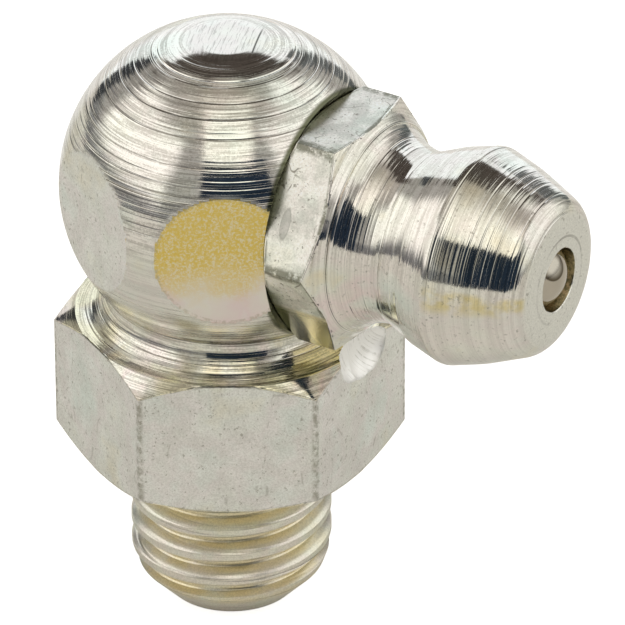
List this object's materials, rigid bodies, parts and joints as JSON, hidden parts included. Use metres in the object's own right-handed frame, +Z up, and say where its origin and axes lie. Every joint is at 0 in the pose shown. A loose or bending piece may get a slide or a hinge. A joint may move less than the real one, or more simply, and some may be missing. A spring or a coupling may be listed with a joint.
{
  "type": "grease nipple",
  "caption": "Right-angle grease nipple: a hexagon elbow with a threaded shank and a ball, and a side nipple closed by a spring-loaded check ball.",
  "frame": {"origin": "where the threaded shank's axis meets the hexagon's seat face", "axes": "+Z up the shank's axis through the ball, +X along the side nipple towards its mouth"},
  "size_m": [0.0166, 0.011, 0.0196],
  "materials": {
    "zinc_plated_steel": "bright zinc plate with a thin yellowish, faintly iridescent passivation over turned steel",
    "ball_steel": "polished",
    "spring_steel": "drawn wire"
  },
  "bodies": {
    "fitting": {"elbow_body": "zinc_plated_steel", "nipple_body": "zinc_plated_steel", "check_spring": "spring_steel"},
    "check_ball": {"check_ball": "ball_steel"}
  },
  "joints": [
    {"name": "check_ball_slide", "type": "slide", "parent": "fitting", "child": "check_ball", "axis": [-1, 0, 0], "range_m": [0, 0.001], "stiffness_N_per_m": 500, "springref_m": -0.001, "deforming": ["check_spring"]}
  ]
}
